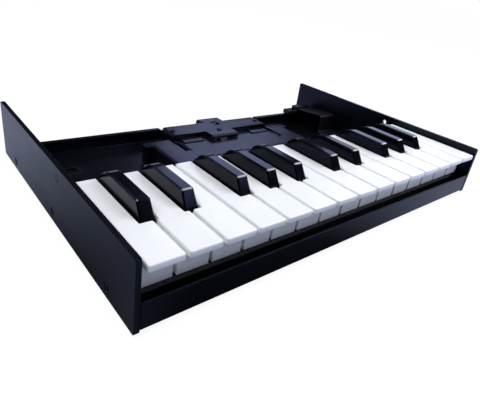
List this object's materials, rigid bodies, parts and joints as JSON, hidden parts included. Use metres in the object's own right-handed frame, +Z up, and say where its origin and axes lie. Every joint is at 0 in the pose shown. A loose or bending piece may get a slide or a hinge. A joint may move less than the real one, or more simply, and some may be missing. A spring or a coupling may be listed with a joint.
{
  "type": "mini keyboard",
  "caption": "Compact music keyboard with sprung mini keys in a folded black steel tray, behind them a tilting dock with a latch, prop flaps and a plug for a sound module",
  "frame": {"origin": "centre of the footprint, on the table under the feet", "axes": "+X along the keys to the player's right, +Y from the player to the rear, +Z up"},
  "size_m": [0.309, 0.2076, 0.045],
  "materials": {
    "black_steel": "satin black powder coat",
    "black_plastic": "moulded, matte",
    "white_plastic": "moulded, smooth, slightly glossy",
    "key_black": "moulded, satin",
    "bright_steel": "plain bright steel",
    "black_zinc": "black zinc plated",
    "rubber": "matte",
    "felt": "dense felt",
    "board_green": "solder mask over laminate",
    "ribbon_black": "flat lead jacket, satin"
  },
  "bodies": {
    "frame": {"base_pan": "black_steel", "left_side_panel": "black_steel", "right_side_panel": "black_steel", "panel_screw_left_front": "black_zinc", "panel_screw_left_middle": "black_zinc", "panel_screw_left_rear": "black_zinc", "panel_screw_right_front": "black_zinc", "panel_screw_right_middle": "black_zinc", "panel_screw_right_rear": "black_zinc", "foot_front_left": "rubber", "foot_front_right": "rubber", "foot_rear_left": "rubber", "foot_rear_right": "rubber", "key_chassis": "black_plastic", "key_pivot_rod": "bright_steel", "key_spring_comb": "bright_steel", "contact_board": "board_green", "contact_strip": "rubber", "down_stop_felt": "felt", "rest_felt": "felt", "platform_bracket": "black_steel", "tilt_hinge_pin": "bright_steel", "left_guide_block": "black_plastic", "module_plug": "black_plastic", "ribbon_lead": "ribbon_black", "ribbon_clamp": "black_plastic"},
    "tilt": {"tilt_plate": "black_steel", "dock_bracket": "black_steel", "dock_screw_left": "black_zinc", "dock_screw_right": "black_zinc", "dock_screw_centre": "black_zinc", "flap_pin": "bright_steel"},
    "latch": {"dock_latch": "bright_steel"},
    "left_flap": {"left_prop_flap": "black_steel"},
    "right_flap": {"right_prop_flap": "black_steel"},
    "white_key_c1": {"white_key_c1": "white_plastic"},
    "white_key_d1": {"white_key_d1": "white_plastic"},
    "white_key_e1": {"white_key_e1": "white_plastic"},
    "white_key_f1": {"white_key_f1": "white_plastic"},
    "white_key_g1": {"white_key_g1": "white_plastic"},
    "white_key_a1": {"white_key_a1": "white_plastic"},
    "white_key_b1": {"white_key_b1": "white_plastic"},
    "white_key_c2": {"white_key_c2": "white_plastic"},
    "white_key_d2": {"white_key_d2": "white_plastic"},
    "white_key_e2": {"white_key_e2": "white_plastic"},
    "white_key_f2": {"white_key_f2": "white_plastic"},
    "white_key_g2": {"white_key_g2": "white_plastic"},
    "white_key_a2": {"white_key_a2": "white_plastic"},
    "white_key_b2": {"white_key_b2": "white_plastic"},
    "white_key_c3": {"white_key_c3": "white_plastic"},
    "black_key_cs1": {"black_key_cs1": "key_black"},
    "black_key_ds1": {"black_key_ds1": "key_black"},
    "black_key_fs1": {"black_key_fs1": "key_black"},
    "black_key_gs1": {"black_key_gs1": "key_black"},
    "black_key_as1": {"black_key_as1": "key_black"},
    "black_key_cs2": {"black_key_cs2": "key_black"},
    "black_key_ds2": {"black_key_ds2": "key_black"},
    "black_key_fs2": {"black_key_fs2": "key_black"},
    "black_key_gs2": {"black_key_gs2": "key_black"},
    "black_key_as2": {"black_key_as2": "key_black"}
  },
  "joints": [
    {"name": "tilt_hinge", "type": "hinge", "parent": "frame", "child": "tilt", "pos_m": [0, 0.0082, 0.0165], "axis": [1, 0, 0], "range_deg": [0, 20]},
    {"name": "latch_slide", "type": "slide", "parent": "tilt", "child": "latch", "axis": [-1, 0, 0], "range_m": [0, 0.0039]},
    {"name": "left_flap_hinge", "type": "hinge", "parent": "tilt", "child": "left_flap", "pos_m": [-0.03445, 0.0447, 0.0174], "axis": [1, 0, 0], "range_deg": [0, 80]},
    {"name": "right_flap_hinge", "type": "hinge", "parent": "tilt", "child": "right_flap", "pos_m": [0.03445, 0.0447, 0.0174], "axis": [1, 0, 0], "range_deg": [0, 80]},
    {"name": "white_c1_hinge", "type": "hinge", "parent": "frame", "child": "white_key_c1", "pos_m": [-0.14, -0.0173, 0.0147], "axis": [1, 0, 0], "range_deg": [0, 2.65], "stiffness_Nm_per_rad": 0.5, "springref_deg": -3.44},
    {"name": "white_d1_hinge", "type": "hinge", "parent": "frame", "child": "white_key_d1", "pos_m": [-0.12, -0.0173, 0.0147], "axis": [1, 0, 0], "range_deg": [0, 2.65], "stiffness_Nm_per_rad": 0.5, "springref_deg": -3.44},
    {"name": "white_e1_hinge", "type": "hinge", "parent": "frame", "child": "white_key_e1", "pos_m": [-0.1, -0.0173, 0.0147], "axis": [1, 0, 0], "range_deg": [0, 2.65], "stiffness_Nm_per_rad": 0.5, "springref_deg": -3.44},
    {"name": "white_f1_hinge", "type": "hinge", "parent": "frame", "child": "white_key_f1", "pos_m": [-0.08, -0.0173, 0.0147], "axis": [1, 0, 0], "range_deg": [0, 2.65], "stiffness_Nm_per_rad": 0.5, "springref_deg": -3.44},
    {"name": "white_g1_hinge", "type": "hinge", "parent": "frame", "child": "white_key_g1", "pos_m": [-0.06, -0.0173, 0.0147], "axis": [1, 0, 0], "range_deg": [0, 2.65], "stiffness_Nm_per_rad": 0.5, "springref_deg": -3.44},
    {"name": "white_a1_hinge", "type": "hinge", "parent": "frame", "child": "white_key_a1", "pos_m": [-0.04, -0.0173, 0.0147], "axis": [1, 0, 0], "range_deg": [0, 2.65], "stiffness_Nm_per_rad": 0.5, "springref_deg": -3.44},
    {"name": "white_b1_hinge", "type": "hinge", "parent": "frame", "child": "white_key_b1", "pos_m": [-0.02, -0.0173, 0.0147], "axis": [1, 0, 0], "range_deg": [0, 2.65], "stiffness_Nm_per_rad": 0.5, "springref_deg": -3.44},
    {"name": "white_c2_hinge", "type": "hinge", "parent": "frame", "child": "white_key_c2", "pos_m": [0, -0.0173, 0.0147], "axis": [1, 0, 0], "range_deg": [0, 2.65], "stiffness_Nm_per_rad": 0.5, "springref_deg": -3.44},
    {"name": "white_d2_hinge", "type": "hinge", "parent": "frame", "child": "white_key_d2", "pos_m": [0.02, -0.0173, 0.0147], "axis": [1, 0, 0], "range_deg": [0, 2.65], "stiffness_Nm_per_rad": 0.5, "springref_deg": -3.44},
    {"name": "white_e2_hinge", "type": "hinge", "parent": "frame", "child": "white_key_e2", "pos_m": [0.04, -0.0173, 0.0147], "axis": [1, 0, 0], "range_deg": [0, 2.65], "stiffness_Nm_per_rad": 0.5, "springref_deg": -3.44},
    {"name": "white_f2_hinge", "type": "hinge", "parent": "frame", "child": "white_key_f2", "pos_m": [0.06, -0.0173, 0.0147], "axis": [1, 0, 0], "range_deg": [0, 2.65], "stiffness_Nm_per_rad": 0.5, "springref_deg": -3.44},
    {"name": "white_g2_hinge", "type": "hinge", "parent": "frame", "child": "white_key_g2", "pos_m": [0.08, -0.0173, 0.0147], "axis": [1, 0, 0], "range_deg": [0, 2.65], "stiffness_Nm_per_rad": 0.5, "springref_deg": -3.44},
    {"name": "white_a2_hinge", "type": "hinge", "parent": "frame", "child": "white_key_a2", "pos_m": [0.1, -0.0173, 0.0147], "axis": [1, 0, 0], "range_deg": [0, 2.65], "stiffness_Nm_per_rad": 0.5, "springref_deg": -3.44},
    {"name": "white_b2_hinge", "type": "hinge", "parent": "frame", "child": "white_key_b2", "pos_m": [0.12, -0.0173, 0.0147], "axis": [1, 0, 0], "range_deg": [0, 2.65], "stiffness_Nm_per_rad": 0.5, "springref_deg": -3.44},
    {"name": "white_c3_hinge", "type": "hinge", "parent": "frame", "child": "white_key_c3", "pos_m": [0.14, -0.0173, 0.0147], "axis": [1, 0, 0], "range_deg": [0, 2.65], "stiffness_Nm_per_rad": 0.5, "springref_deg": -3.44},
    {"name": "black_cs1_hinge", "type": "hinge", "parent": "frame", "child": "black_key_cs1", "pos_m": [-0.1329, -0.0173, 0.0147], "axis": [1, 0, 0], "range_deg": [0, 2.65], "stiffness_Nm_per_rad": 0.5, "springref_deg": -3.44},
    {"name": "black_ds1_hinge", "type": "hinge", "parent": "frame", "child": "black_key_ds1", "pos_m": [-0.1086, -0.0173, 0.0147], "axis": [1, 0, 0], "range_deg": [0, 2.65], "stiffness_Nm_per_rad": 0.5, "springref_deg": -3.44},
    {"name": "black_fs1_hinge", "type": "hinge", "parent": "frame", "child": "black_key_fs1", "pos_m": [-0.0731, -0.0173, 0.0147], "axis": [1, 0, 0], "range_deg": [0, 2.65], "stiffness_Nm_per_rad": 0.5, "springref_deg": -3.44},
    {"name": "black_gs1_hinge", "type": "hinge", "parent": "frame", "child": "black_key_gs1", "pos_m": [-0.0508, -0.0173, 0.0147], "axis": [1, 0, 0], "range_deg": [0, 2.65], "stiffness_Nm_per_rad": 0.5, "springref_deg": -3.44},
    {"name": "black_as1_hinge", "type": "hinge", "parent": "frame", "child": "black_key_as1", "pos_m": [-0.0279, -0.0173, 0.0147], "axis": [1, 0, 0], "range_deg": [0, 2.65], "stiffness_Nm_per_rad": 0.5, "springref_deg": -3.44},
    {"name": "black_cs2_hinge", "type": "hinge", "parent": "frame", "child": "black_key_cs2", "pos_m": [0.0071, -0.0173, 0.0147], "axis": [1, 0, 0], "range_deg": [0, 2.65], "stiffness_Nm_per_rad": 0.5, "springref_deg": -3.44},
    {"name": "black_ds2_hinge", "type": "hinge", "parent": "frame", "child": "black_key_ds2", "pos_m": [0.0314, -0.0173, 0.0147], "axis": [1, 0, 0], "range_deg": [0, 2.65], "stiffness_Nm_per_rad": 0.5, "springref_deg": -3.44},
    {"name": "black_fs2_hinge", "type": "hinge", "parent": "frame", "child": "black_key_fs2", "pos_m": [0.0669, -0.0173, 0.0147], "axis": [1, 0, 0], "range_deg": [0, 2.65], "stiffness_Nm_per_rad": 0.5, "springref_deg": -3.44},
    {"name": "black_gs2_hinge", "type": "hinge", "parent": "frame", "child": "black_key_gs2", "pos_m": [0.0892, -0.0173, 0.0147], "axis": [1, 0, 0], "range_deg": [0, 2.65], "stiffness_Nm_per_rad": 0.5, "springref_deg": -3.44},
    {"name": "black_as2_hinge", "type": "hinge", "parent": "frame", "child": "black_key_as2", "pos_m": [0.1121, -0.0173, 0.0147], "axis": [1, 0, 0], "range_deg": [0, 2.65], "stiffness_Nm_per_rad": 0.5, "springref_deg": -3.44}
  ]
}
